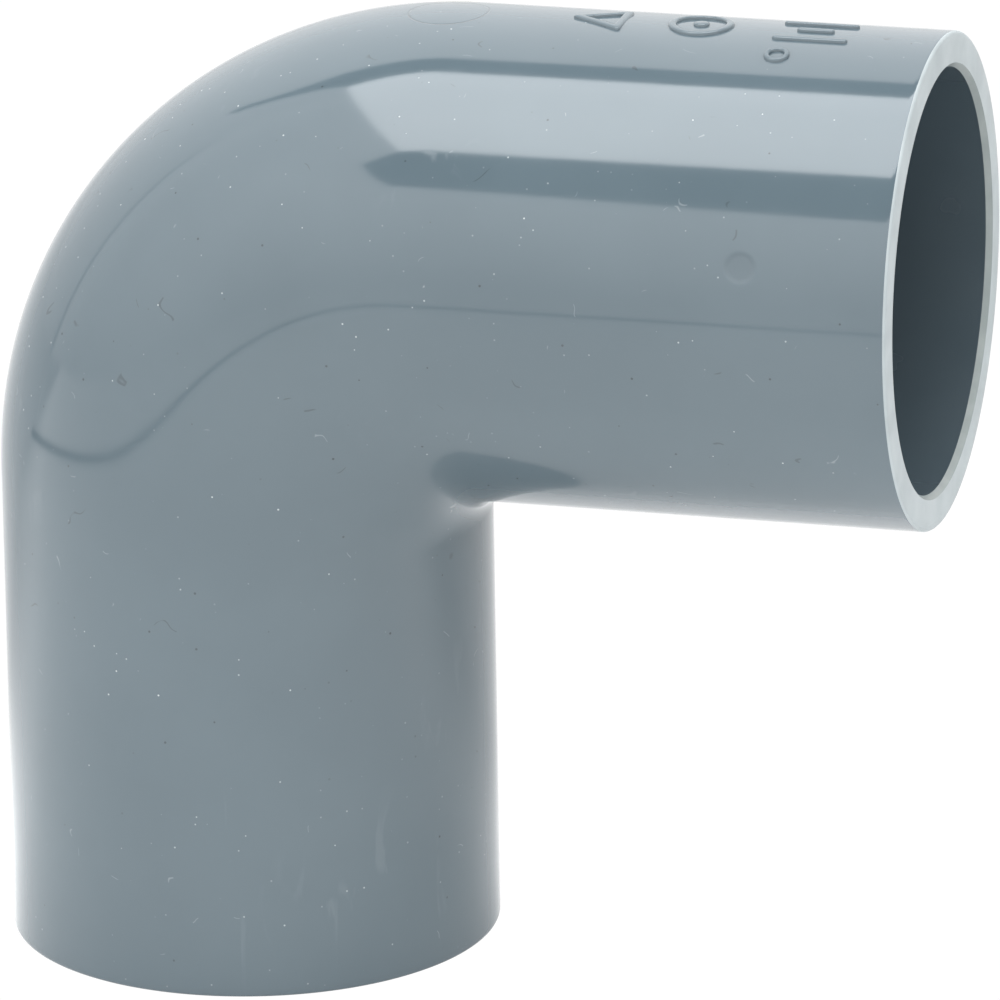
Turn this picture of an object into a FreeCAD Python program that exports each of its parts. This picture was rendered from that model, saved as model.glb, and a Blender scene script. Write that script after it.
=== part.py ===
import FreeCAD
import Part
import Sketcher
import math
import os

# A 90 degree elbow for solvent-cemented PVC pressure pipe, nominal size 40 mm, as one injection moulding.
# Frame: origin at the centre of the lower mouth, +Z up the lower leg, +X along the side leg.
# The elbow is symmetric about the plane Y = 0. Lengths are millimetres, angles are degrees.

DIMENSIONS = {
    "outer_diameter": 47.0,     # the same along both legs and round the outside of the bend
    "centre_to_end": 68.4,      # from the crossing of the two leg axes to each mouth
    "bend_radius": 22.2,        # centreline radius of the outer half of the bend, and of the waterway
    "crotch_radius": 3.0,       # rounding on the inside of the corner
    "socket_bore": 40.2,        # seats the outside of a 40 mm pipe
    "socket_depth": 26.0,       # from the mouth to the stop shoulder
    "lead_in_length": 0.6,      # chamfer at each mouth, along the axis
    "lead_in_rise": 0.4,        # the same chamfer, across the radius
    "waterway_bore": 37.2,      # clear way between the two stop shoulders
    "shoulder_round": 0.5,      # root rounding where the socket meets the stop shoulder
    "rim_round": 0.35,          # rounding of the outer edge of each mouth
    "mark_relief": 0.3,         # height of the raised mould marks
    "mark_root": 1.5,           # how far the marks reach into the wall, below the top of the leg
    "mark_stroke": 0.75,        # line width of the raised mould marks
    "ring_station": 45.3,       # distance of the ring mark along the side leg
    "ring_diameter": 6.2,
    "triangle_station": 36.3,   # distance of the triangle mark along the side leg
    "triangle_side": 6.2,
    "bars_station": 56.3,       # middle of the group of bars
    "bar_length": 7.2,
    "bar_pitch": 2.5,
    "small_ring_station": 54.0, # distance of the small ring mark along the side leg
    "small_ring_aside": 6.0,    # how far the small ring stands towards -Y
    "small_ring_diameter": 2.4,
    "small_ring_stroke": 0.5,
    "pin_diameter": 2.8,        # flat circle left by an ejector pin
    "pin_depth": 0.12,
    "pin_station": 54.5,        # distance of the pin mark along the side leg
    "pin_angle": 17.5,          # height of the pin mark round the leg, above the -Y side
}
NODE = "elbow_body"
VOLUME_STEP = 1.0               # mm3, the least that a cut or an added feature must change

doc = FreeCAD.newDocument("pvc_elbow")


def make_sheet():
    """The driving dimensions, one named cell each."""
    sheet = doc.addObject("Spreadsheet::Sheet", "Sheet")
    for row, (name, value) in enumerate(DIMENSIONS.items(), start=1):
        sheet.set("A%d" % row, name)
        sheet.set("B%d" % row, str(value))
        sheet.setAlias("B%d" % row, name)
    doc.recompute()
    return sheet


def bind(thing, **expressions):
    """Bind properties, with dots written as double underscores, to expressions on the sheet."""
    for name, expression in expressions.items():
        thing.setExpression(name.replace("__", "."), expression)


def origin_plane(body, role):
    return next(f for f in body.Origin.OriginFeatures if f.Role == role)


def new_sketch(body, name, role, **offset):
    """A sketch on one of the body's origin planes; offset gives x, y and z expressions for its origin."""
    sketch = body.newObject("Sketcher::SketchObject", name)
    sketch.AttachmentSupport = [(origin_plane(body, role), "")]
    sketch.MapMode = "FlatFace"
    for axis, expression in offset.items():
        sketch.setExpression("AttachmentOffset.Base." + axis, expression)
    return sketch


def value(sketch, expression):
    return float(sketch.evalExpression(expression))


def dimension(sketch, name, expression, kind, *refs):
    """A driving dimension of a sketch, bound to an expression on the sheet."""
    index = sketch.addConstraint(Sketcher.Constraint(kind, *refs, value(sketch, expression)))
    sketch.renameConstraint(index, name)
    sketch.setExpression("Constraints." + name, expression)


def vector(x, y):
    return FreeCAD.Vector(x, y, 0)


def add_circle(sketch, name, radius, left=None):
    """A circle about the sketch's origin, or to the left of it on its horizontal axis."""
    x = -value(sketch, left) if left else 0.0
    circle = Part.Circle(vector(x, 0), FreeCAD.Vector(0, 0, 1), value(sketch, radius))
    index = sketch.addGeometry(circle, False)
    if left:
        sketch.addConstraint(Sketcher.Constraint("PointOnObject", index, 3, -1))
        dimension(sketch, name + "_offset", left, "DistanceX", index, 3, -1, 1)
    else:
        sketch.addConstraint(Sketcher.Constraint("Coincident", index, 3, -1, 1))
    dimension(sketch, name + "_radius", radius, "Radius", index)


def add_half_disc(sketch, radius, start, left=None):
    """Half a disc: an arc of 180 degrees from the angle start, closed by its diameter."""
    x = -value(sketch, left) if left else 0.0
    full = Part.Circle(vector(x, 0), FreeCAD.Vector(0, 0, 1), value(sketch, radius))
    first = math.radians(start)
    arc = sketch.addGeometry(Part.ArcOfCircle(full, first, first + math.pi), False)
    begin = full.value(first)
    end = full.value(first + math.pi)
    chord = sketch.addGeometry(Part.LineSegment(end, begin), False)
    sketch.addConstraint(Sketcher.Constraint("Coincident", arc, 2, chord, 1))
    sketch.addConstraint(Sketcher.Constraint("Coincident", chord, 2, arc, 1))
    sketch.addConstraint(Sketcher.Constraint("PointOnObject", arc, 3, chord))
    sketch.addConstraint(Sketcher.Constraint("Vertical" if start % 180 else "Horizontal", chord))
    if left:
        sketch.addConstraint(Sketcher.Constraint("PointOnObject", arc, 3, -1))
        dimension(sketch, "offset", left, "DistanceX", arc, 3, -1, 1)
    else:
        sketch.addConstraint(Sketcher.Constraint("Coincident", arc, 3, -1, 1))
    dimension(sketch, "radius", radius, "Radius", arc)


def check_change(body, feature, grows):
    """Stop if a feature did nothing or went the wrong way."""
    before = feature.BaseFeature.Shape.Volume if feature.BaseFeature else 0.0
    change = feature.Shape.Volume - before
    if not (change > VOLUME_STEP if grows else change < -VOLUME_STEP):
        raise RuntimeError("%s changed the volume by %.2f mm3" % (feature.Name, change))
    body.Tip = feature


def pad(body, name, sketch, length, both_ways=False):
    feature = body.newObject("PartDesign::Pad", name)
    feature.Profile = sketch
    if both_ways:
        feature.SideType = "Symmetric"
    bind(feature, Length=length)
    doc.recompute()
    check_change(body, feature, grows=True)


def pocket(body, name, sketch, length):
    """Cut from the sketch's plane along its normal."""
    feature = body.newObject("PartDesign::Pocket", name)
    feature.Profile = sketch
    feature.Reversed = True
    bind(feature, Length=length)
    doc.recompute()
    check_change(body, feature, grows=False)


def turn(body, kind, name, sketch, axis, angle, reverse=False):
    """A revolved boss or groove about an axis of its own sketch."""
    feature = body.newObject("PartDesign::" + kind, name)
    feature.Profile = sketch
    feature.ReferenceAxis = (sketch, [axis])
    feature.Angle = angle
    feature.Reversed = reverse
    doc.recompute()
    check_change(body, feature, grows=kind == "Revolution")


OUTER = "Sheet.outer_diameter / 2"
INNER_BEND = "(Sheet.outer_diameter / 2 + Sheet.crotch_radius)"
OUTER_START = "Sheet.centre_to_end - Sheet.bend_radius"
INNER_START = "Sheet.centre_to_end - " + INNER_BEND


def make_legs(body):
    """Two round legs up to where the inside of the bend starts, and their outer halves on to the outside's start."""
    lower = new_sketch(body, "lower_leg_section", "XY_Plane")
    add_circle(lower, "outside", OUTER)
    pad(body, "lower_leg", lower, INNER_START)
    side = new_sketch(body, "side_leg_section", "YZ_Plane", y="Sheet.centre_to_end", z=INNER_BEND)
    add_circle(side, "outside", OUTER)
    pad(body, "side_leg", side, INNER_START)
    lower_half = new_sketch(body, "lower_half_section", "XY_Plane", z=INNER_START)
    add_half_disc(lower_half, OUTER, start=90)
    pad(body, "lower_outer_half", lower_half, INNER_BEND + " - Sheet.bend_radius")
    side_half = new_sketch(body, "side_half_section", "YZ_Plane", y="Sheet.centre_to_end", z="Sheet.bend_radius")
    add_half_disc(side_half, OUTER, start=0)
    pad(body, "side_outer_half", side_half, INNER_BEND + " - Sheet.bend_radius")


def make_bend(body):
    """The corner: an outer half section and an inner half section turned about two parallel axes.

    The inner one has the larger centreline, which leaves room for the rounding of the crotch. The thin
    space between the two centrelines is filled at the full width of the leg, so the sides stay smooth.
    """
    outer = new_sketch(body, "outer_bend_section", "XY_Plane", x="Sheet.bend_radius", z=OUTER_START)
    add_half_disc(outer, OUTER, start=90, left="Sheet.bend_radius")
    turn(body, "Revolution", "outer_bend", outer, "V_Axis", 90)
    inner = new_sketch(body, "inner_bend_section", "XY_Plane", x=INNER_BEND, z=INNER_START)
    add_half_disc(inner, OUTER, start=270, left=INNER_BEND)
    turn(body, "Revolution", "inner_bend", inner, "V_Axis", 90)
    fill = new_sketch(body, "bend_side_outline", "XZ_Plane")
    draw_side_outline(fill)
    pad(body, "bend_sides", fill, "Sheet.outer_diameter", both_ways=True)


def draw_side_outline(sketch):
    """The space between the two centreline arcs, with a short straight at each end."""
    top = value(sketch, "Sheet.centre_to_end")
    small = value(sketch, "Sheet.bend_radius")
    large = value(sketch, INNER_BEND)
    normal = FreeCAD.Vector(0, 0, 1)
    small_circle = Part.Circle(vector(small, top - small), normal, small)
    large_circle = Part.Circle(vector(large, top - large), normal, large)
    quarter = (math.pi / 2, math.pi)
    up = sketch.addGeometry(Part.LineSegment(vector(0, top - large), vector(0, top - small)), False)
    over = sketch.addGeometry(Part.ArcOfCircle(small_circle, *quarter), False)
    along = sketch.addGeometry(Part.LineSegment(vector(small, top), vector(large, top)), False)
    back = sketch.addGeometry(Part.ArcOfCircle(large_circle, *quarter), False)
    sketch.addConstraint(Sketcher.Constraint("Coincident", up, 2, over, 2))
    sketch.addConstraint(Sketcher.Constraint("Coincident", over, 1, along, 1))
    sketch.addConstraint(Sketcher.Constraint("Coincident", along, 2, back, 1))
    sketch.addConstraint(Sketcher.Constraint("Coincident", back, 2, up, 1))
    for arc in (over, back):
        sketch.addConstraint(Sketcher.Constraint("Vertical", arc, 1, arc, 3))
        sketch.addConstraint(Sketcher.Constraint("Horizontal", arc, 2, arc, 3))
    dimension(sketch, "small_radius", "Sheet.bend_radius", "Radius", over)
    dimension(sketch, "large_radius", INNER_BEND, "Radius", back)
    dimension(sketch, "small_across", "Sheet.bend_radius", "DistanceX", -1, 1, over, 3)
    dimension(sketch, "small_height", OUTER_START, "DistanceY", -1, 1, over, 3)
    dimension(sketch, "large_across", INNER_BEND, "DistanceX", -1, 1, back, 3)
    dimension(sketch, "large_height", INNER_START, "DistanceY", -1, 1, back, 3)


def make_waterway(body):
    """The clear way: a bore up each leg and a quarter turn between them."""
    bore = "Sheet.waterway_bore / 2"
    lower = new_sketch(body, "lower_bore_section", "XY_Plane")
    add_circle(lower, "bore", bore)
    pocket(body, "lower_waterway", lower, OUTER_START)
    side = new_sketch(body, "side_bore_section", "YZ_Plane", y="Sheet.centre_to_end", z="Sheet.bend_radius")
    add_circle(side, "bore", bore)
    pocket(body, "side_waterway", side, OUTER_START)
    turned = new_sketch(body, "bend_bore_section", "XY_Plane", x="Sheet.bend_radius", z=OUTER_START)
    add_circle(turned, "bore", bore, left="Sheet.bend_radius")
    turn(body, "Groove", "bend_waterway", turned, "V_Axis", 90)


def add_socket_profile(sketch, along_y):
    """Half the section of a socket, with its lead-in chamfer, drawn from the sketch's axis."""
    depths = [0.0, value(sketch, "Sheet.lead_in_length"), value(sketch, "Sheet.socket_depth")]
    wall = value(sketch, "Sheet.socket_bore / 2")
    radii = [wall + value(sketch, "Sheet.lead_in_rise"), wall, wall]
    outline = [(0.0, depths[0])] + list(zip(radii, depths)) + [(0.0, depths[-1])]
    points = [vector(r, d) if along_y else vector(-d, r) for r, d in outline]
    count = len(points)
    for i in range(count):
        sketch.addGeometry(Part.LineSegment(points[i], points[(i + 1) % count]), False)
    for i in range(count):
        sketch.addConstraint(Sketcher.Constraint("Coincident", i, 2, (i + 1) % count, 1))
    across = "Horizontal" if along_y else "Vertical"
    lengthwise = "Vertical" if along_y else "Horizontal"
    for line, rule in ((0, across), (2, lengthwise), (3, across), (4, lengthwise)):
        sketch.addConstraint(Sketcher.Constraint(rule, line))
    sketch.addConstraint(Sketcher.Constraint("Coincident", 0, 1, -1, 1))
    radius_kind = "DistanceX" if along_y else "DistanceY"
    depth_kind = "DistanceY" if along_y else "DistanceX"
    dimension(sketch, "mouth_radius", "Sheet.socket_bore / 2 + Sheet.lead_in_rise", radius_kind, 0, 1, 0, 2)
    dimension(sketch, "wall_radius", "Sheet.socket_bore / 2", radius_kind, 4, 1, 2, 2)
    lead_in_ends = (1, 1, 1, 2) if along_y else (1, 2, 1, 1)
    depth_ends = (4, 2, 4, 1) if along_y else (4, 1, 4, 2)
    dimension(sketch, "lead_in", "Sheet.lead_in_length", depth_kind, *lead_in_ends)
    dimension(sketch, "depth", "Sheet.socket_depth", depth_kind, *depth_ends)


def make_sockets(body):
    """A turned socket in each mouth. What stands between it and the waterway is the pipe's stop shoulder."""
    lower = new_sketch(body, "lower_socket_profile", "XZ_Plane")
    add_socket_profile(lower, along_y=True)
    turn(body, "Groove", "lower_socket", lower, "V_Axis", 360)
    side = new_sketch(body, "side_socket_profile", "XZ_Plane", x="Sheet.centre_to_end", y="Sheet.centre_to_end")
    add_socket_profile(side, along_y=False)
    turn(body, "Groove", "side_socket", side, "H_Axis", 360)


def circle_edges(shape, radius, stations):
    """Names of the circular edges of one radius whose centres are at the given points."""
    found = []
    for index, edge in enumerate(shape.Edges, start=1):
        curve = edge.Curve
        if not isinstance(curve, Part.Circle) or abs(curve.Radius - radius) > 1e-4:
            continue
        if any(curve.Center.distanceToPoint(point) < 1e-4 for point in stations):
            found.append("Edge%d" % index)
    return found


def round_edges(body, sheet):
    """Round the outer edge of each mouth and the root of each socket."""
    reach = sheet.centre_to_end
    mouths = [FreeCAD.Vector(0, 0, 0), FreeCAD.Vector(reach, 0, reach)]
    depth = sheet.socket_depth
    roots = [FreeCAD.Vector(0, 0, depth), FreeCAD.Vector(reach - depth, 0, reach)]
    jobs = (
        ("rim_rounding", sheet.outer_diameter / 2, mouths, "Sheet.rim_round"),
        ("socket_root_rounding", sheet.socket_bore / 2, roots, "Sheet.shoulder_round"),
    )
    for name, radius, stations, expression in jobs:
        base = body.Tip
        edges = circle_edges(base.Shape, radius, stations)
        if len(edges) != len(stations):
            raise RuntimeError("%s found %d edges" % (name, len(edges)))
        fillet = body.newObject("PartDesign::Fillet", name)
        fillet.Base = (base, edges)
        bind(fillet, Radius=expression)
        doc.recompute()
        body.Tip = fillet


def loose_sketch(name, station):
    """A sketch inside the side leg's upper wall, seen from above: its x runs along the leg, its y across it."""
    sketch = doc.addObject("Sketcher::SketchObject", name)
    height = "Sheet.centre_to_end + Sheet.outer_diameter / 2 - Sheet.mark_root"
    bind(sketch, Placement__Base__x=station, Placement__Base__z=height)
    return sketch


def ring_mark():
    sketch = loose_sketch("ring_mark", "Sheet.ring_station")
    add_circle(sketch, "outside", "Sheet.ring_diameter / 2")
    add_circle(sketch, "inside", "Sheet.ring_diameter / 2 - Sheet.mark_stroke")
    add_circle(sketch, "dot", "Sheet.mark_stroke")
    return sketch


def small_ring_mark():
    sketch = loose_sketch("small_ring_mark", "Sheet.small_ring_station")
    bind(sketch, Placement__Base__y="-Sheet.small_ring_aside")
    add_circle(sketch, "outside", "Sheet.small_ring_diameter / 2")
    add_circle(sketch, "inside", "Sheet.small_ring_diameter / 2 - Sheet.small_ring_stroke")
    return sketch


def triangle_mark():
    """An even-sided triangle outline that points back to the bend."""
    sketch = loose_sketch("triangle_mark", "Sheet.triangle_station")
    outer = "Sheet.triangle_side / sqrt(3)"
    inner = "Sheet.triangle_side / sqrt(3) - 2 * Sheet.mark_stroke"
    for name, radius in (("outside", outer), ("inside", inner)):
        reach = value(sketch, radius)
        first = sketch.GeometryCount
        guide = sketch.addGeometry(Part.Circle(vector(0, 0), FreeCAD.Vector(0, 0, 1), reach), True)
        corners = [FreeCAD.Vector(reach * math.cos(a), reach * math.sin(a), 0)
                   for a in (math.pi, math.pi * 5 / 3, math.pi / 3)]
        lines = [sketch.addGeometry(Part.LineSegment(corners[i], corners[(i + 1) % 3]), False)
                 for i in range(3)]
        sketch.addConstraint(Sketcher.Constraint("Coincident", first, 3, -1, 1))
        for i in range(3):
            sketch.addConstraint(Sketcher.Constraint("Coincident", lines[i], 2, lines[(i + 1) % 3], 1))
            sketch.addConstraint(Sketcher.Constraint("PointOnObject", lines[i], 1, guide))
        sketch.addConstraint(Sketcher.Constraint("Vertical", lines[1]))
        sketch.addConstraint(Sketcher.Constraint("Equal", lines[0], lines[1]))
        dimension(sketch, name + "_reach", radius, "Radius", guide)
    return sketch


def bar_marks():
    """Three bars along the leg, side by side."""
    sketches = []
    for step in (-1, 0, 1):
        sketch = loose_sketch("bar_mark_%d" % (step + 2), "Sheet.bars_station")
        bind(sketch, Placement__Base__y="%d * Sheet.bar_pitch" % step)
        length = "Sheet.bar_length" if step else "Sheet.bar_length / 2"
        half = value(sketch, length) / 2
        wide = value(sketch, "Sheet.mark_stroke") / 2
        corners = [vector(-half, -wide), vector(half, -wide), vector(half, wide), vector(-half, wide)]
        for i in range(4):
            sketch.addGeometry(Part.LineSegment(corners[i], corners[(i + 1) % 4]), False)
            sketch.addConstraint(Sketcher.Constraint("Horizontal" if i % 2 == 0 else "Vertical", i))
        for i in range(4):
            sketch.addConstraint(Sketcher.Constraint("Coincident", i, 2, (i + 1) % 4, 1))
        sketch.addConstraint(Sketcher.Constraint("Symmetric", 0, 1, 2, 1, -1, 1))
        dimension(sketch, "length", length, "DistanceX", 0, 1, 0, 2)
        dimension(sketch, "width", "Sheet.mark_stroke", "DistanceY", 1, 1, 1, 2)
        sketches.append(sketch)
    return sketches


def make_marks():
    """The raised mould marks: prisms rooted in the wall, cut to a cylinder that stands just proud of the leg."""
    prisms = []
    for sketch in [ring_mark(), small_ring_mark(), triangle_mark()] + bar_marks():
        prism = doc.addObject("Part::Extrusion", sketch.Name + "_prism")
        prism.Base = sketch
        prism.DirMode = "Custom"
        prism.Dir = FreeCAD.Vector(0, 0, 1)
        prism.Solid = True
        bind(prism, LengthFwd="Sheet.mark_root + Sheet.outer_diameter / 2")
        prisms.append(prism)
    limit = doc.addObject("Part::Cylinder", "mark_limit")
    bind(limit, Radius="Sheet.outer_diameter / 2 + Sheet.mark_relief", Height="Sheet.centre_to_end")
    limit.Placement = FreeCAD.Placement(FreeCAD.Vector(0, 0, 0), FreeCAD.Rotation(FreeCAD.Vector(0, 1, 0), 90))
    bind(limit, Placement__Base__z="Sheet.centre_to_end")
    group = doc.addObject("Part::MultiFuse", "mark_prisms")
    group.Shapes = prisms
    marks = doc.addObject("Part::Common", "raised_marks")
    marks.Base = group
    marks.Tool = limit
    return marks


def make_pin_cutter():
    """The end of the ejector pin, square to the surface of the side leg on its -Y side."""
    cutter = doc.addObject("Part::Cylinder", "ejector_pin")
    bind(cutter, Radius="Sheet.pin_diameter / 2", Height="Sheet.outer_diameter")
    # The cylinder's own axis is turned from +Z towards -Y, to point out through the leg's surface.
    quarter_turn = FreeCAD.Rotation(FreeCAD.Vector(1, 0, 0), 90)
    cutter.Placement = FreeCAD.Placement(FreeCAD.Vector(0, 0, 0), quarter_turn)
    floor = "(Sheet.outer_diameter / 2 - Sheet.pin_depth)"
    bind(
        cutter,
        Placement__Rotation__Angle="90 deg - Sheet.pin_angle * 1 deg",
        Placement__Base__x="Sheet.pin_station",
        Placement__Base__y="-%s * cos(Sheet.pin_angle * 1 deg)" % floor,
        Placement__Base__z="Sheet.centre_to_end + %s * sin(Sheet.pin_angle * 1 deg)" % floor,
    )
    return cutter


def make_elbow(sheet):
    """The whole moulding: the turned and swept body, its raised marks and the pin's flat."""
    body = doc.addObject("PartDesign::Body", "moulding")
    doc.recompute()
    make_legs(body)
    make_bend(body)
    make_waterway(body)
    make_sockets(body)
    round_edges(body, sheet)
    marked = doc.addObject("Part::Fuse", "marked_moulding")
    marked.Base = body
    marked.Tool = make_marks()
    elbow = doc.addObject("Part::Cut", "elbow")
    elbow.Base = marked
    elbow.Tool = make_pin_cutter()
    elbow.Label = NODE
    elbow.Placement = FreeCAD.Placement()
    doc.recompute()
    return elbow


def check_document():
    """Every object must have computed."""
    for thing in doc.Objects:
        if "Invalid" in thing.State or "Error" in thing.State:
            raise RuntimeError("%s did not compute: %s" % (thing.Name, thing.State))


def export(parts):
    """Write each sub-part to its own file, once all of them are known to be good."""
    for part in parts:
        if part.Shape.isNull() or not part.Shape.isValid() or len(part.Shape.Solids) != 1:
            raise RuntimeError("%s is not one valid solid" % part.Label)
    os.makedirs("parts", exist_ok=True)
    for part in parts:
        part.Shape.exportStep("parts/%s.step" % part.Label)
        box = part.Shape.optimalBoundingBox(False)
        size = (part.Label, part.Shape.Volume, box.XMin, box.XMax, box.YMin, box.YMax, box.ZMin, box.ZMax)
        print("%s: %.1f mm3, X %.2f to %.2f, Y %.2f to %.2f, Z %.2f to %.2f" % size)


sheet = make_sheet()
elbow = make_elbow(sheet)
check_document()
export([elbow])
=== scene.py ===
"""The looks of a grey PVC elbow fitting: its moulding, its mould marks, its materials and a studio."""
import math

import bmesh
import bpy
from mathutils import Matrix, Vector


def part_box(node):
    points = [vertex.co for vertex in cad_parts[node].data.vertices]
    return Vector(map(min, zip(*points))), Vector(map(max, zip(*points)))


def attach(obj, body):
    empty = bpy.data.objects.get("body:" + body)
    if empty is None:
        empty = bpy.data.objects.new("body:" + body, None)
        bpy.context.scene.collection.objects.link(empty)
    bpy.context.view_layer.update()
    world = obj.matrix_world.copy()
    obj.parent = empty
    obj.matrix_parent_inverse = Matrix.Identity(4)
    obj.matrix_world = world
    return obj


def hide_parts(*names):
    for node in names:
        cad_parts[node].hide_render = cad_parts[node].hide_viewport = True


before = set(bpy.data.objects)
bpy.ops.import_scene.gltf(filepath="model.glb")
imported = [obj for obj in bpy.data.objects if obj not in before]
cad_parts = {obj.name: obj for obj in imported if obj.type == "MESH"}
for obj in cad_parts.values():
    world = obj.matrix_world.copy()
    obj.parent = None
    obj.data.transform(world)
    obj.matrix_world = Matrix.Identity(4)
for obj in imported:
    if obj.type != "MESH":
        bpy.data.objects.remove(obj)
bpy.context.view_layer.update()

MM = 0.001
NODE = "elbow_body"

# ---------------------------------------------------------------- sizes in millimetres, from the CAD's box
low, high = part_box(NODE)
RADIUS = high.y / MM                        # outside of the legs and the bend
REACH = high.x / MM                         # from the crossing of the two leg axes to each mouth
MARK_RELIEF = high.z / MM - REACH - RADIUS  # what stands proud of the side leg's top

OUTER_BEND = 22.2                           # centreline radius of the bend's outer half and of the waterway
INNER_BEND = RADIUS + 3.0                   # the same for the inner half, which leaves a 3 mm round crotch
SOCKET = 20.1
WATERWAY = 18.6
SOCKET_DEPTH = 26.0
LEAD_IN = (0.6, 0.4)                        # along the axis, across the radius
RIM_ROUND = 0.35
ROOT_ROUND = 0.5
PIN_STATION, PIN_FROM_TOP, PIN_RADIUS, PIN_DEPTH = 54.5, math.radians(72.5), 1.4, 0.12
PIN_WINDOW = 1.45 * PIN_RADIUS              # half the width of the finer mesh round the pin mark
PIN_STEP = 0.16                             # its spacing
LONG_STEP, BORE_STEP = 1.6, 2.0             # spacing of the rings along the outside and along the inside


# ---------------------------------------------------------------- geometry helpers
def spread(start, end, step):
    """Evenly spaced values from start up to, and not including, end."""
    count = max(1, round(abs(end - start) / step))
    return [start + (end - start) * i / count for i in range(count)]


def angles_around():
    """Angles round the section, closer together where the pin mark is."""
    window = PIN_WINDOW / RADIUS
    even = [a for a in spread(0.0, math.tau, math.tau / 168) if abs(a - PIN_FROM_TOP) > window]
    fine = spread(PIN_FROM_TOP - window, PIN_FROM_TOP + window, PIN_STEP / RADIUS)
    return sorted(even + fine)


ANGLES = angles_around()


def lower_ring(depth, radius):
    """A circle round the lower leg, at a distance from its mouth. Angle 0 is -X, 90 degrees is -Y."""
    return [Vector((-radius * math.cos(a), -radius * math.sin(a), depth)) for a in ANGLES]


def side_ring(depth, radius):
    """The same round the side leg. Angle 0 is its top."""
    return [Vector((REACH - depth, -radius * math.sin(a), REACH + radius * math.cos(a))) for a in ANGLES]


def outer_reach(turn, offset):
    """How far a ray from the inner bend's centre goes to the outside: a straight, an arc, a straight."""
    start = REACH - INNER_BEND
    across, up = math.cos(turn), math.sin(turn)
    if across > 1e-9:
        straight = (INNER_BEND + offset) / across
        if start + straight * up <= REACH - OUTER_BEND:
            return straight
    if up > 1e-9:
        straight = (INNER_BEND + offset) / up
        if INNER_BEND - straight * across >= OUTER_BEND:
            return straight
    shift = INNER_BEND - OUTER_BEND           # from the inner bend's centre to the outer's, along -X and +Z
    along = shift * (across + up)
    return along + math.sqrt(along * along - 2 * shift * shift + (OUTER_BEND + offset) ** 2)


def bend_ring(turn):
    """The outside's section in the plane at an angle through the centre of the inner bend."""
    points = []
    for a in ANGLES:
        offset = RADIUS * math.cos(a)
        if abs(offset) < 1e-6:
            reach = (outer_reach(turn, 0.0) + INNER_BEND) / 2
        elif offset > 0:
            reach = outer_reach(turn, offset)
        else:
            reach = INNER_BEND + offset
        x = INNER_BEND - reach * math.cos(turn)
        z = REACH - INNER_BEND + reach * math.sin(turn)
        points.append(Vector((x, -RADIUS * math.sin(a), z)))
    return points


def waterway_ring(turn):
    """The waterway's section at an angle through the centre of its own bend."""
    points = []
    for a in ANGLES:
        reach = OUTER_BEND + WATERWAY * math.cos(a)
        x = OUTER_BEND - reach * math.cos(turn)
        z = REACH - OUTER_BEND + reach * math.sin(turn)
        points.append(Vector((x, -WATERWAY * math.sin(a), z)))
    return points


def press_pin(points):
    """Flatten what lies under the ejector pin, square to the surface, with a soft edge."""
    out = Vector((0, -math.sin(PIN_FROM_TOP), math.cos(PIN_FROM_TOP)))
    centre = Vector((PIN_STATION, 0, REACH))
    for p in points:
        height = (p - centre).dot(out)
        aside = (p - centre - out * height).length
        share = min(1.0, max(0.0, (PIN_RADIUS + 0.2 - aside) / 0.5))
        if height > 0 and share > 0:
            p -= out * (height - (RADIUS - PIN_DEPTH)) * share * share * (3 - 2 * share)
    return points


def mouth_profile():
    """(distance from the mouth, radius) from the outside, over the rim and down to the stop shoulder."""
    quarter = [math.pi / 2 * i / 5 for i in range(1, 6)]
    rounding = [(RIM_ROUND - RIM_ROUND * math.sin(q), RADIUS - RIM_ROUND + RIM_ROUND * math.cos(q))
                for q in quarter]
    face = [(0.0, r) for r in spread(RADIUS - RIM_ROUND, SOCKET + LEAD_IN[1], 0.7)[1:]]
    lead_in = [(0.0, SOCKET + LEAD_IN[1]), (LEAD_IN[0], SOCKET)]
    wall = [(d, SOCKET) for d in spread(LEAD_IN[0], SOCKET_DEPTH - ROOT_ROUND, BORE_STEP)[1:]]
    root = [(SOCKET_DEPTH - ROOT_ROUND + ROOT_ROUND * math.sin(q),
             SOCKET - ROOT_ROUND + ROOT_ROUND * math.cos(q)) for q in [0.0] + quarter]
    return rounding + face + lead_in + wall + root + [(SOCKET_DEPTH, WATERWAY)]


def moulding_rings():
    """Every ring of the moulding, in one closed loop: out along the outside, back through the waterway."""
    straight = REACH - INNER_BEND
    rim = RIM_ROUND + 0.3                     # a ring near the rim's rounding keeps the shading even up to it
    rings = [lower_ring(d, RADIUS) for d in [RIM_ROUND] + spread(rim, straight, LONG_STEP)]
    rings += [bend_ring(t) for t in spread(0.0, math.pi / 2, math.radians(1.6))]
    pin = REACH - PIN_STATION
    depths = spread(straight, pin + PIN_WINDOW, LONG_STEP)
    depths += spread(pin + PIN_WINDOW, pin - PIN_WINDOW, PIN_STEP)
    depths += spread(pin - PIN_WINDOW, rim, LONG_STEP) + [rim, RIM_ROUND]
    rings += [press_pin(side_ring(d, RADIUS)) for d in depths]
    mouth = mouth_profile()
    rings += [side_ring(d, r) for d, r in mouth]
    bore_straight = REACH - OUTER_BEND
    rings += [side_ring(d, WATERWAY) for d in spread(SOCKET_DEPTH, bore_straight, BORE_STEP)[1:]]
    rings += [waterway_ring(math.pi / 2 - t) for t in spread(0.0, math.pi / 2, math.radians(3.0))]
    rings += [lower_ring(d, WATERWAY) for d in spread(bore_straight, SOCKET_DEPTH, BORE_STEP)]
    rings += [lower_ring(d, r) for d, r in reversed(mouth)]
    return rings


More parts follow.
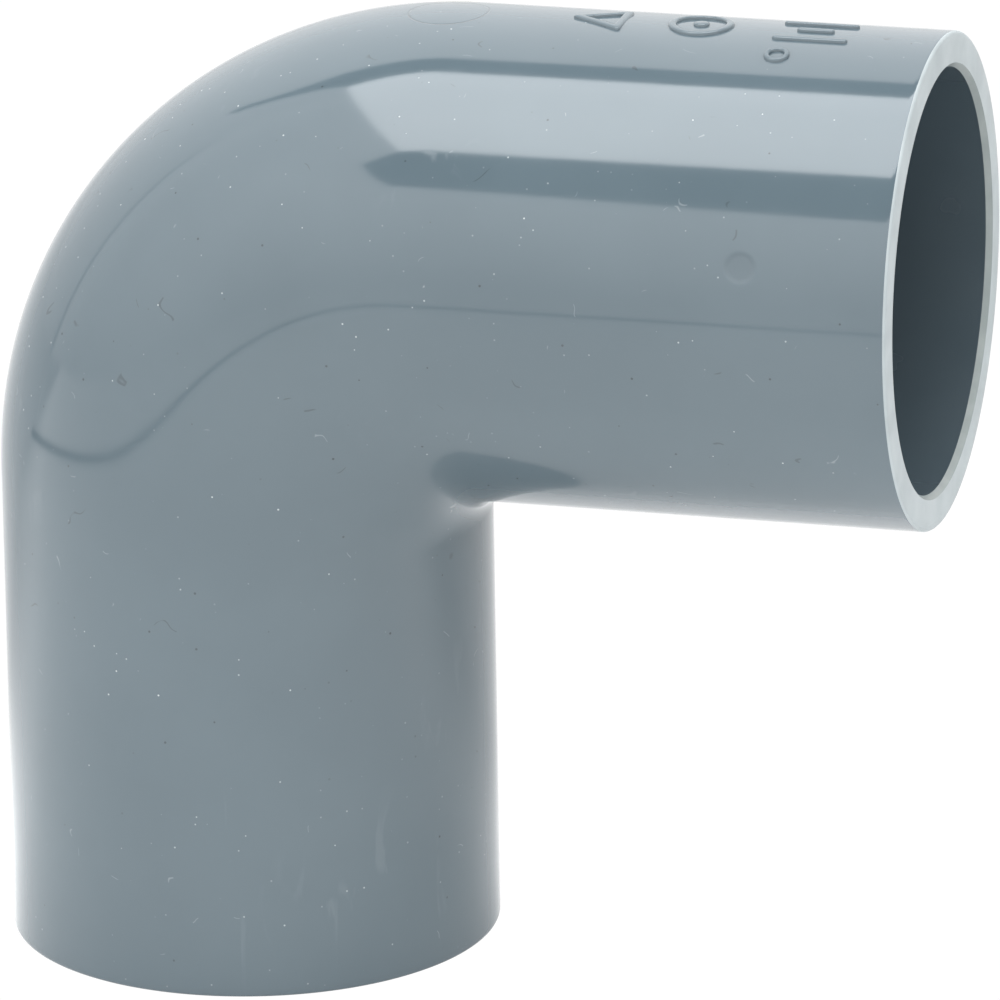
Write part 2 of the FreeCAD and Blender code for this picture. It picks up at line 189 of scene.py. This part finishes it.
def mesh_object(name, points, faces, sharp=30.0):
    """A smooth-shaded piece from points in millimetres, with creases where faces meet at a sharp angle."""
    mesh = bpy.data.meshes.new(name)
    mesh.from_pydata([p * MM for p in points], [], faces)
    work = bmesh.new()
    work.from_mesh(mesh)
    bmesh.ops.remove_doubles(work, verts=work.verts, dist=1e-7)
    bmesh.ops.recalc_face_normals(work, faces=work.faces)
    work.to_mesh(mesh)
    work.free()
    mesh.shade_smooth()
    mesh.set_sharp_from_angle(angle=math.radians(sharp))
    piece = bpy.data.objects.new(name, mesh)
    bpy.context.scene.collection.objects.link(piece)
    return piece


def ring_faces(rows, columns):
    """Quads of a grid that closes on itself both ways."""
    faces = []
    for r in range(rows):
        for c in range(columns):
            here, there = r * columns, (r + 1) % rows * columns
            faces.append((here + c, here + (c + 1) % columns, there + (c + 1) % columns, there + c))
    return faces


def build_moulding():
    """The elbow's own mesh, as one closed skin."""
    rings = moulding_rings()
    points = [p for ring in rings for p in ring]
    return mesh_object("elbow_moulding", points, ring_faces(len(rings), len(ANGLES)))


# ---------------------------------------------------------------- raised mould marks on top of the side leg
EDGE = ((0.0, -0.5), (0.0, 0.55), (0.14, 0.9), (0.32, 1.0))  # (share of the stroke, share of the relief)
STROKE = 0.75                               # width of the marks' lines
TRIANGLE_AT, TRIANGLE_SIDE = 36.3, 6.2      # stations along the leg, and sizes
RING_AT, RING_RADIUS = 45.3, 3.1
SMALL_RING_AT, SMALL_RING_OUTER, SMALL_RING_INNER = (54.0, -6.0), 1.2, 0.7
BARS_AT, BARS = 56.3, ((-2.5, 7.2), (0.0, 3.6), (2.5, 7.2))    # (across the leg, length) of each bar


def wrap(x, y, height):
    """A point over the side leg's top, at a height above its surface."""
    return Vector((x, y, REACH + math.sqrt((RADIUS + height) ** 2 - y * y)))


def band(name, outer, inner, hollow=True):
    """A raised band between two outlines of as many points. If it isn't hollow, it closes on the inner one."""
    if hollow:
        steps = list(EDGE) + [(1 - t, h) for t, h in reversed(EDGE)]
    else:
        steps = [(2 * t, h) for t, h in EDGE] + [(1.0, 1.0)]
    count = len(outer)
    points = []
    for t, h in steps:
        for (ox, oy), (ix, iy) in zip(outer, inner):
            points.append(wrap(ox + (ix - ox) * t, oy + (iy - oy) * t, h * MARK_RELIEF))
    faces = []
    for s in range(len(steps) - 1):
        for c in range(count):
            n = (c + 1) % count
            faces.append((s * count + c, s * count + n, (s + 1) * count + n, (s + 1) * count + c))
    return mesh_object(name, points, faces, sharp=75.0)


def circle(x, y, radius, count=48):
    """Evenly spaced points of a circle."""
    turns = [math.tau * i / count for i in range(count)]
    return [(x + radius * math.cos(a), y + radius * math.sin(a)) for a in turns]


def rounded_triangle(x, reach, rounding, per_corner=9):
    """A triangle that points along -X, with its corners rounded; reach is from its middle to a corner."""
    points = []
    for corner in (math.pi, math.pi * 5 / 3, math.pi / 3):
        cx = x + (reach - 2 * rounding) * math.cos(corner)
        cy = (reach - 2 * rounding) * math.sin(corner)
        for i in range(per_corner):
            a = corner + math.radians(120) * (i / (per_corner - 1) - 0.5)
            points.append((cx + rounding * math.cos(a), cy + rounding * math.sin(a)))
    return points


def capsule(x, y, length, width, per_end=9):
    """Outline and middle line of a straight bar with round ends."""
    outline, middle = [], []
    half = (length - width) / 2
    for side in (0, 1):
        for i in range(per_end):
            a = math.pi * side - math.pi / 2 + math.pi * i / (per_end - 1)
            cx = x + (half if side == 0 else -half)
            outline.append((cx + width / 2 * math.cos(a), y + width / 2 * math.sin(a)))
            middle.append((cx, y))
    return outline, middle


def build_marks():
    """The generic marks of the CAD part: a triangle, a ring with a dot, three bars and a small ring."""
    reach = TRIANGLE_SIDE / math.sqrt(3)
    dot = circle(RING_AT, 0, STROKE)
    marks = [
        band("mark_triangle", rounded_triangle(TRIANGLE_AT, reach, 0.25),
             rounded_triangle(TRIANGLE_AT, reach - 2 * STROKE, 0.12)),
        band("mark_ring", circle(RING_AT, 0, RING_RADIUS), circle(RING_AT, 0, RING_RADIUS - STROKE)),
        band("mark_dot", dot, [(RING_AT, 0)] * len(dot), hollow=False),
        band("mark_small_ring", circle(*SMALL_RING_AT, SMALL_RING_OUTER),
             circle(*SMALL_RING_AT, SMALL_RING_INNER)),
    ]
    for number, (y, length) in enumerate(BARS, start=1):
        outline, middle = capsule(BARS_AT, y, length, STROKE)
        marks.append(band("mark_bar_%d" % number, outline, middle, hollow=False))
    return marks


# ---------------------------------------------------------------- materials
class Nodes:
    """A few words for writing a material's nodes."""

    def __init__(self, name):
        self.material = bpy.data.materials.new(name)
        self.material.use_nodes = True
        self.tree = self.material.node_tree
        self.tree.nodes.clear()
        self.output = self.tree.nodes.new("ShaderNodeOutputMaterial")
        self.where = self.add("ShaderNodeTexCoord").outputs["Object"]

    def add(self, kind, **settings):
        node = self.tree.nodes.new(kind)
        for key, setting in settings.items():
            setattr(node, key, setting)
        return node

    def link(self, source, target):
        self.tree.links.new(source, target)

    def noise(self, scale, detail=2.0, roughness=0.5, distortion=0.0, vector=None):
        node = self.add("ShaderNodeTexNoise")
        node.inputs["Scale"].default_value = scale
        node.inputs["Detail"].default_value = detail
        node.inputs["Roughness"].default_value = roughness
        node.inputs["Distortion"].default_value = distortion
        self.link(vector or self.where, node.inputs["Vector"])
        return node.outputs["Fac"]

    def stretch(self, scale, rotation=(0, 0, 0)):
        """The place on the object, scaled unevenly, so that a pattern runs long one way."""
        node = self.add("ShaderNodeMapping")
        node.inputs["Scale"].default_value = scale
        node.inputs["Rotation"].default_value = rotation
        self.link(self.where, node.inputs["Vector"])
        return node.outputs["Vector"]

    def ramp(self, source, start, end, low=0.0, high=1.0):
        """An eased step from low at start to high at end."""
        node = self.add("ShaderNodeMapRange", interpolation_type="SMOOTHSTEP")
        for key, number in (("From Min", start), ("From Max", end), ("To Min", low), ("To Max", high)):
            node.inputs[key].default_value = number
        self.link(source, node.inputs["Value"])
        return node.outputs["Result"]

    def math(self, operation, *terms):
        node = self.add("ShaderNodeMath", operation=operation)
        for index, term in enumerate(terms):
            if isinstance(term, (int, float)):
                node.inputs[index].default_value = term
            else:
                self.link(term, node.inputs[index])
        return node.outputs["Value"]

    def specks(self, scale, size, keep):
        """Small round spots: 1 inside a spot. Only the share keep of the cells has one."""
        cells = self.add("ShaderNodeTexVoronoi", feature="F1")
        cells.inputs["Scale"].default_value = scale
        self.link(self.where, cells.inputs["Vector"])
        spot = self.ramp(cells.outputs["Distance"], size, size * 0.55)
        lots = self.add("ShaderNodeSeparateColor")
        self.link(cells.outputs["Color"], lots.inputs["Color"])
        chosen = self.math("LESS_THAN", lots.outputs["Red"], keep)
        strength = self.ramp(lots.outputs["Green"], 0.0, 1.0, 0.25, 1.0)
        return self.math("MULTIPLY", self.math("MULTIPLY", spot, chosen), strength)

    def fibres(self, scale, width, patch_scale, threshold):
        """Short curved hairs: thin level lines of one noise where another noise is high."""
        offset = self.math("ABSOLUTE", self.math("SUBTRACT", self.noise(scale, detail=1.0), 0.5))
        line = self.ramp(offset, width, width * 0.4)
        patch = self.ramp(self.noise(patch_scale, detail=1.0), threshold, threshold + 0.03)
        return self.math("MULTIPLY", line, patch)

    def ring(self, x, radius, width, lowest):
        """A thin circle on top of the bend, about a vertical axis through y = 0."""
        split = self.add("ShaderNodeSeparateXYZ")
        self.link(self.where, split.inputs["Vector"])
        along = self.math("POWER", self.math("SUBTRACT", split.outputs["X"], x), 2.0)
        reach = self.math("SQRT", self.math("ADD", along, self.math("POWER", split.outputs["Y"], 2.0)))
        line = self.ramp(self.math("ABSOLUTE", self.math("SUBTRACT", reach, radius)), width, width * 0.3)
        return self.math("MULTIPLY", line, self.math("GREATER_THAN", split.outputs["Z"], lowest))

    def disc(self, centre, radius, softness):
        """A soft round patch about a point."""
        node = self.add("ShaderNodeVectorMath", operation="DISTANCE")
        self.link(self.where, node.inputs[0])
        node.inputs[1].default_value = centre
        return self.ramp(node.outputs["Value"], radius + softness, radius - softness)

    def tint(self, factor, base, colour):
        """Mix from base, a colour or a socket, to a colour by a factor socket."""
        node = self.add("ShaderNodeMix", data_type="RGBA")
        self.link(factor, node.inputs["Factor"])
        if isinstance(base, tuple):
            node.inputs["A"].default_value = (*base, 1)
        else:
            self.link(base, node.inputs["A"])
        node.inputs["B"].default_value = (*colour, 1)
        return node.outputs["Result"]

    def bump(self, height, distance, normal=None):
        node = self.add("ShaderNodeBump")
        node.inputs["Distance"].default_value = distance
        self.link(height, node.inputs["Height"])
        if normal:
            self.link(normal, node.inputs["Normal"])
        return node.outputs["Normal"]

    def shader(self, colour, roughness, normal):
        node = self.add("ShaderNodeBsdfPrincipled")
        node.inputs["IOR"].default_value = 1.5
        self.link(colour, node.inputs["Base Color"])
        self.link(roughness, node.inputs["Roughness"])
        self.link(normal, node.inputs["Normal"])
        self.link(node.outputs["BSDF"], self.output.inputs["Surface"])
        return self.material


GREY_DEEP, GREY = (0.0655, 0.0895, 0.1045), (0.0705, 0.0955, 0.1110)    # the skin varies between these
# The bore's colours are darker than the skin's: painted shade inside the hollow, over its own random mottling.
BORE_SHADED_DEEP, BORE_SHADED_GREY = (0.0450, 0.0620, 0.0735), (0.0500, 0.0680, 0.0800)
# The lead-in's colours are paler than the skin's: painted light caught on the chamfer at the mouth.
LEAD_IN_LIT_DEEP, LEAD_IN_LIT_PALE = (0.150, 0.176, 0.174), (0.185, 0.210, 0.206)
RIM_DEEP, RIM_PALE = (0.240, 0.270, 0.280), (0.280, 0.312, 0.322)
SCUFFED = (0.105, 0.130, 0.145)
DUST = (0.62, 0.66, 0.66)
# The dark colour below serves the dark fibres, flecks and witness ring, and also the painted shade on the
# pin's recess.
SOOT_AND_PAINTED_SHADE = (0.018, 0.022, 0.024)
WITNESS_AT, WITNESS_RADIUS, WITNESS_WIDTH, WITNESS_LOWEST = 0.0208, 0.0038, 0.00014, 0.08   # in metres


def shaded_bore_pvc():
    """The sockets' and the waterway's inside: the skin's plastic with random mottling, painted darker than the
    outside as painted shade inside the hollow.
    """
    m = Nodes("bore_pvc_painted_shade")
    mottle = m.ramp(m.noise(70.0, detail=3.0), 0.35, 0.7)
    colour = m.tint(mottle, BORE_SHADED_DEEP, BORE_SHADED_GREY)
    roughness = m.ramp(m.noise(120.0, detail=3.0), 0.3, 0.7, 0.20, 0.28)
    return m.shader(colour, roughness, m.bump(m.noise(180.0, detail=2.0), 0.000006))


def lit_lead_in_pvc():
    """The lead-in, painted paler than the skin as painted light: the light the chamfer catches at the mouth,
    over its own random mottling.
    """
    m = Nodes("lead_in_pvc_painted_light")
    mottle = m.ramp(m.noise(300.0, detail=4.0), 0.3, 0.7)
    colour = m.tint(mottle, LEAD_IN_LIT_DEEP, LEAD_IN_LIT_PALE)
    roughness = m.ramp(m.noise(400.0, detail=2.0), 0.3, 0.7, 0.30, 0.40)
    return m.shader(colour, roughness, m.bump(m.noise(900.0, detail=2.0), 0.000008))


def moulded_pvc():
    """Glossy grey PVC with mottling, scuffs, dust, fibres, dark flecks, painted shade on the ejector pin's
    recess and a witness ring.
    """
    m = Nodes("moulded_grey_pvc")
    mottle = m.ramp(m.noise(55.0, detail=4.0), 0.35, 0.7)
    colour = m.tint(mottle, GREY_DEEP, GREY)
    scuffs = m.noise(420.0, detail=3.0, distortion=0.6, vector=m.stretch((1.0, 1.0, 0.25), (0.3, 0.2, 0.5)))
    patches = m.ramp(m.noise(38.0, detail=2.0), 0.52, 0.68)
    scuff = m.math("MULTIPLY", m.ramp(scuffs, 0.60, 0.72), patches)
    colour = m.tint(m.math("MULTIPLY", scuff, 0.45), colour, SCUFFED)
    dust = m.math("MAXIMUM", m.specks(900.0, 0.10, 0.34), m.specks(420.0, 0.05, 0.22))
    dust = m.math("MULTIPLY", dust, m.ramp(m.noise(60.0, detail=2.0), 0.40, 0.62, 0.25, 1.0))
    colour = m.tint(m.math("MULTIPLY", dust, 0.5), colour, DUST)
    hairs = m.fibres(330.0, 0.009, 420.0, 0.71)
    colour = m.tint(m.math("MULTIPLY", hairs, 0.11), colour, DUST)
    curls = m.fibres(270.0, 0.012, 260.0, 0.70)
    colour = m.tint(m.math("MULTIPLY", curls, 0.40), colour, SOOT_AND_PAINTED_SHADE)
    # Painted shade: the ejector pin's shallow recess is tinted darker, standing in for the shade on its flat.
    pin_shade_centre = (PIN_STATION * MM, -RADIUS * math.sin(PIN_FROM_TOP) * MM,
                (REACH + RADIUS * math.cos(PIN_FROM_TOP)) * MM)
    colour = m.tint(m.math("MULTIPLY", m.disc(pin_shade_centre, PIN_RADIUS * MM, 0.00025), 0.07), colour, SOOT_AND_PAINTED_SHADE)
    witness = m.ring(WITNESS_AT, WITNESS_RADIUS, WITNESS_WIDTH, WITNESS_LOWEST)
    colour = m.tint(m.math("MULTIPLY", witness, 0.30), colour, SOOT_AND_PAINTED_SHADE)
    flecks = m.specks(610.0, 0.09, 0.25)
    colour = m.tint(m.math("MULTIPLY", flecks, 0.8), colour, SOOT_AND_PAINTED_SHADE)
    roughness = m.math("ADD", m.ramp(m.noise(90.0, detail=3.0), 0.3, 0.7, 0.085, 0.105),
                       m.math("MULTIPLY", scuff, 0.12))
    skin = m.bump(m.noise(160.0, detail=2.0), 0.000006)
    wave = m.bump(m.noise(22.0, detail=1.0), 0.00004, normal=skin)
    grit = m.bump(dust, 0.00002, normal=wave)
    sunk = m.bump(m.math("MULTIPLY", witness, -1.0), 0.00002, normal=grit)
    return m.shader(colour, roughness, sunk)


def cut_rim():
    """The flat end faces: the same plastic, trimmed, so paler and duller, with fine cutter lines."""
    m = Nodes("trimmed_pvc_rim")
    mottle = m.ramp(m.noise(240.0, detail=4.0), 0.3, 0.7)
    colour = m.tint(mottle, RIM_DEEP, RIM_PALE)
    lines = m.noise(1500.0, detail=2.0, vector=m.stretch((1.0, 0.12, 0.12)))
    roughness = m.ramp(lines, 0.3, 0.7, 0.42, 0.55)
    return m.shader(colour, roughness, m.bump(lines, 0.00001))


def region(polygon):
    """0 outside, 1 on an end face and the side mouth's outer edge, 2 on a lead-in, 3 inside."""
    centre = polygon.center / MM
    depth, across, edge = centre.z, math.hypot(centre.x, centre.y), 0.02
    if centre.x > REACH - SOCKET_DEPTH - ROOT_ROUND and centre.z > REACH - RADIUS - 1:
        depth, across, edge = REACH - centre.x, math.hypot(centre.y, centre.z - REACH), 0.2
    elif centre.z > SOCKET_DEPTH + ROOT_ROUND:
        return 3 if bend_distance(centre) < (RADIUS + WATERWAY) / 2 else 0
    if across < SOCKET + 0.01:
        return 3
    if depth < LEAD_IN[0] and across < SOCKET + LEAD_IN[1] - 0.01:
        return 2
    return 1 if depth < edge else 0


def bend_distance(point):
    """How far a point is from the waterway's centreline: straight, quarter circle, straight."""
    straight = REACH - OUTER_BEND
    if point.z < straight:
        return math.hypot(point.x, point.y)
    if point.x > OUTER_BEND:
        return math.hypot(point.y, point.z - REACH)
    return math.hypot(point.y, math.hypot(point.x - OUTER_BEND, point.z - straight) - OUTER_BEND)


def dress(moulding, marks):
    """Give each piece its materials and its body."""
    body_finish = moulded_pvc()
    for finish in (body_finish, cut_rim(), lit_lead_in_pvc(), shaded_bore_pvc()):
        moulding.data.materials.append(finish)
    for polygon in moulding.data.polygons:
        polygon.material_index = region(polygon)
    for mark in marks:
        mark.data.materials.append(body_finish)
    for piece in [moulding] + marks:
        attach(piece, "root")
    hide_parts(NODE)


# ---------------------------------------------------------------- studio
VIEW_AZIMUTH, VIEW_ELEVATION, VIEW_ROLL = math.radians(15.66), math.radians(18.07), math.radians(-0.916)
LENS = 408.7
AIM = Vector((21.15, 0.0, REACH - 21.15))   # the camera's place is counted from here, in millimetres
BACK, RIGHT, DOWN = 1079.6, 3.79, 3.54

LIGHT_HEIGHT = 0.9                          # from here on in metres, over the side leg's axis
LIGHT_WIDTH, LIGHT_DEPTH, LIGHT_AHEAD = 0.88, 0.70, -0.035
LIGHT_RADIANCE, LIGHT_COLOUR = 4.2, (0.97, 1.0, 1.02)
TABLE_HALF = 3.0
TABLE_SEEN = 1.02                           # the table's brightness to the camera
# The table's front and back tones in reflections are painted light, brighter in front; its glow is painted
# fill light that lifts the shade under the side leg.
TABLE_LIT_FRONT, TABLE_LIT_BACK, TABLE_PAINTED_FILL = 0.62, 0.24, 0.42
# Outlines of the dark gaps at the softbox's height: (to the camera's right, away from the camera)
GAP_BEFORE = [(-0.44, -0.385), (-0.62, -0.46), (-0.645, -0.6), (-0.645, -0.76), (-0.56, -0.79),
              (-0.53, -0.88), (0.65, -0.95), (0.65, -0.385)]
GAP_BEHIND = [(0.65, 0.315), (-0.43, 0.315), (-0.49, 0.37), (-0.64, 0.475), (-0.73, 0.56), (-0.90, 0.74),
              (-0.94, 0.84), (-0.815, 0.715), (-0.718, 0.61), (-0.63, 0.545), (-0.545, 0.51), (-0.477, 0.50),
              (-0.163, 0.48), (-0.09, 0.50), (0.65, 0.52)]
SURROUND_LOW, SURROUND_RISE = 1.14, 1.55    # the walls' brightness at the table, and its gain upwards
CORNER = -101.0                             # the left wall's edge, in degrees from -Y towards +X


def camera_axes():
    """(towards the camera, right, up) of the view."""
    flat = Vector((math.cos(VIEW_AZIMUTH), math.sin(VIEW_AZIMUTH), 0))
    back = Vector((math.sin(VIEW_AZIMUTH) * math.cos(VIEW_ELEVATION),
                   -math.cos(VIEW_AZIMUTH) * math.cos(VIEW_ELEVATION), math.sin(VIEW_ELEVATION)))
    upright = back.cross(flat)
    right = math.cos(VIEW_ROLL) * flat + math.sin(VIEW_ROLL) * upright
    up = math.cos(VIEW_ROLL) * upright - math.sin(VIEW_ROLL) * flat
    return back, right, up


def build_camera():
    """A long lens, so the object is seen almost without perspective."""
    back, right, up = camera_axes()
    data = bpy.data.cameras.new("camera")
    data.sensor_width = 36.0
    data.lens = LENS
    data.clip_end = 20.0
    camera = bpy.data.objects.new("camera", data)
    place = AIM + back * BACK + right * RIGHT - up * DOWN
    turned = Matrix((right, up, back)).transposed().to_4x4()
    turned.translation = place * MM
    camera.matrix_world = turned
    bpy.context.scene.collection.objects.link(camera)
    bpy.context.scene.camera = camera


def panel(name, corners, faces, finish):
    """A flat part of the studio, in metres."""
    mesh = bpy.data.meshes.new(name)
    mesh.from_pydata(corners, [], faces)
    mesh.materials.append(finish)
    thing = bpy.data.objects.new(name, mesh)
    bpy.context.scene.collection.objects.link(thing)
    return thing


def black_cloth():
    m = Nodes("black_cloth")
    cloth = m.add("ShaderNodeBsdfDiffuse")
    cloth.inputs["Color"].default_value = (0.01, 0.01, 0.01, 1)
    m.link(cloth.outputs["BSDF"], m.output.inputs["Surface"])
    return m.material


def pale_table():
    """White seen directly; in reflections a pale paper with painted light, brighter in front, and a painted
    fill glow that lifts its shade. Clear from below.
    """
    m = Nodes("pale_table")
    split = m.add("ShaderNodeSeparateXYZ")
    m.link(m.where, split.inputs["Vector"])
    # Painted light: the paper is brighter in front than behind, standing in for more light falling there.
    shade = m.ramp(split.outputs["Y"], 0.0, 0.06, TABLE_LIT_FRONT, TABLE_LIT_BACK)
    colour = m.add("ShaderNodeCombineColor")
    for channel in ("Red", "Green", "Blue"):
        m.link(shade, colour.inputs[channel])
    paper = m.add("ShaderNodeBsdfDiffuse")
    m.link(colour.outputs["Color"], paper.inputs["Color"])
    # Painted fill light: an even glow of the paper in reflections lifts the shade under the side leg.
    glow = m.add("ShaderNodeEmission")
    glow.inputs["Strength"].default_value = TABLE_PAINTED_FILL
    reflected = m.add("ShaderNodeAddShader")
    m.link(paper.outputs["BSDF"], reflected.inputs[0])
    m.link(glow.outputs["Emission"], reflected.inputs[1])
    white = m.add("ShaderNodeEmission")
    white.inputs["Strength"].default_value = TABLE_SEEN
    seen = m.add("ShaderNodeMixShader")
    m.link(m.add("ShaderNodeLightPath").outputs["Is Camera Ray"], seen.inputs["Fac"])
    m.link(reflected.outputs["Shader"], seen.inputs[1])
    m.link(white.outputs["Emission"], seen.inputs[2])
    sides = m.add("ShaderNodeMixShader")
    m.link(m.add("ShaderNodeNewGeometry").outputs["Backfacing"], sides.inputs["Fac"])
    m.link(seen.outputs["Shader"], sides.inputs[1])
    m.link(m.add("ShaderNodeBsdfTransparent").outputs["BSDF"], sides.inputs[2])
    m.link(sides.outputs["Shader"], m.output.inputs["Surface"])
    return m.material


def studio_point(right, ahead):
    """A point at the softbox's height in metres, along the camera's level right and away from the camera."""
    c, s = math.cos(VIEW_AZIMUTH), math.sin(VIEW_AZIMUTH)
    middle = Vector((0.02, 0.0, REACH * MM))
    return middle + Vector((right * c - ahead * s, right * s + ahead * c, LIGHT_HEIGHT))


def soft_light():
    """A level rectangular light of even brightness, squared up to the camera's level direction."""
    data = bpy.data.lights.new("softbox", "AREA")
    data.shape = "RECTANGLE"
    data.size, data.size_y = LIGHT_WIDTH, LIGHT_DEPTH
    data.energy = LIGHT_RADIANCE * math.pi * LIGHT_WIDTH * LIGHT_DEPTH
    data.color = LIGHT_COLOUR
    light = bpy.data.objects.new("softbox", data)
    light.location = studio_point(0, LIGHT_AHEAD)
    light.rotation_euler = (0, 0, VIEW_AZIMUTH)
    bpy.context.scene.collection.objects.link(light)


def build_surround():
    """White walls and ceiling, brighter upwards and in front, with an edge and a dark seam at the left."""
    world = bpy.data.worlds.new("studio")
    world.use_nodes = True
    tree = world.node_tree
    background = tree.nodes["Background"]
    background.inputs["Color"].default_value = (1, 1, 1, 1)

    def linear(source, start, end, low, high):
        node = tree.nodes.new("ShaderNodeMapRange")
        for key, number in (("From Min", start), ("From Max", end), ("To Min", low), ("To Max", high)):
            node.inputs[key].default_value = number
        tree.links.new(source, node.inputs["Value"])
        return node.outputs["Result"]

    def maths(operation, *terms):
        node = tree.nodes.new("ShaderNodeMath")
        node.operation = operation
        for index, term in enumerate(terms):
            if isinstance(term, float):
                node.inputs[index].default_value = term
            else:
                tree.links.new(term, node.inputs[index])
        return node.outputs["Value"]

    def across(azimuth, start, end, low, high):
        return linear(azimuth, math.radians(start), math.radians(end), low, high)

    split = tree.nodes.new("ShaderNodeSeparateXYZ")
    tree.links.new(tree.nodes.new("ShaderNodeTexCoord").outputs["Generated"], split.inputs["Vector"])
    rise = linear(split.outputs["Z"], 0.0, 1.0, 0.0, SURROUND_RISE)
    azimuth = maths("ARCTAN2", split.outputs["X"], maths("MULTIPLY", split.outputs["Y"], -1.0))
    left = maths("MAXIMUM", across(azimuth, CORNER - 0.5, CORNER + 0.5, 0.0, 0.35),
                 across(azimuth, CORNER, -55, 0.0, 1.0))
    right = across(azimuth, 60, 80, 1.0, 0.0)
    sides = maths("MULTIPLY", left, right)
    front = maths("MULTIPLY", sides, linear(split.outputs["Z"], 0.65, 0.75, 0.7, 0.5))
    seam = maths("COMPARE", azimuth, math.radians(CORNER - 0.5), math.radians(0.7))
    seam = maths("MULTIPLY", seam, linear(split.outputs["Z"], 0.45, 0.65, 0.9, 0.0))
    total = maths("SUBTRACT", maths("ADD", maths("ADD", rise, front), SURROUND_LOW), seam)
    tree.links.new(total, background.inputs["Strength"])
    bpy.context.scene.world = world


def table_edge():
    """Corners and faces of a narrow strip on the table, nearer at the left than in front."""
    corners = []
    steps = 60
    for i in range(steps + 1):
        degrees = CORNER + 170 * i / steps
        a = math.radians(degrees)
        reach = 0.27 + 0.21 / (1 + math.exp(-(degrees + 17) / 9))
        for r in (reach, reach * 1.10):
            corners.append((r * math.sin(a), -r * math.cos(a), 0.001))
    return corners, [(2 * i, 2 * i + 1, 2 * i + 3, 2 * i + 2) for i in range(steps)]


def build_studio():
    """A pale table with a dark edge, a white surround, and a softbox with dark gaps before and behind it."""
    t = TABLE_HALF
    panel("floor", [(-t, -t, 0), (t, -t, 0), (t, t, 0), (-t, t, 0)], [(0, 1, 2, 3)], pale_table())
    build_surround()
    soft_light()
    gaps = [(name, [studio_point(*corner) for corner in outline], [tuple(range(len(outline)))])
            for name, outline in (("gap_before", GAP_BEFORE), ("gap_behind", GAP_BEHIND))]
    cloth = black_cloth()
    for name, corners, faces in gaps + [("table_edge", *table_edge())]:
        panel(name, corners, faces, cloth).visible_camera = False
    bpy.context.scene.view_settings.view_transform = "Standard"


build_camera()
build_studio()
moulding = build_moulding()
marks = build_marks()
dress(moulding, marks)
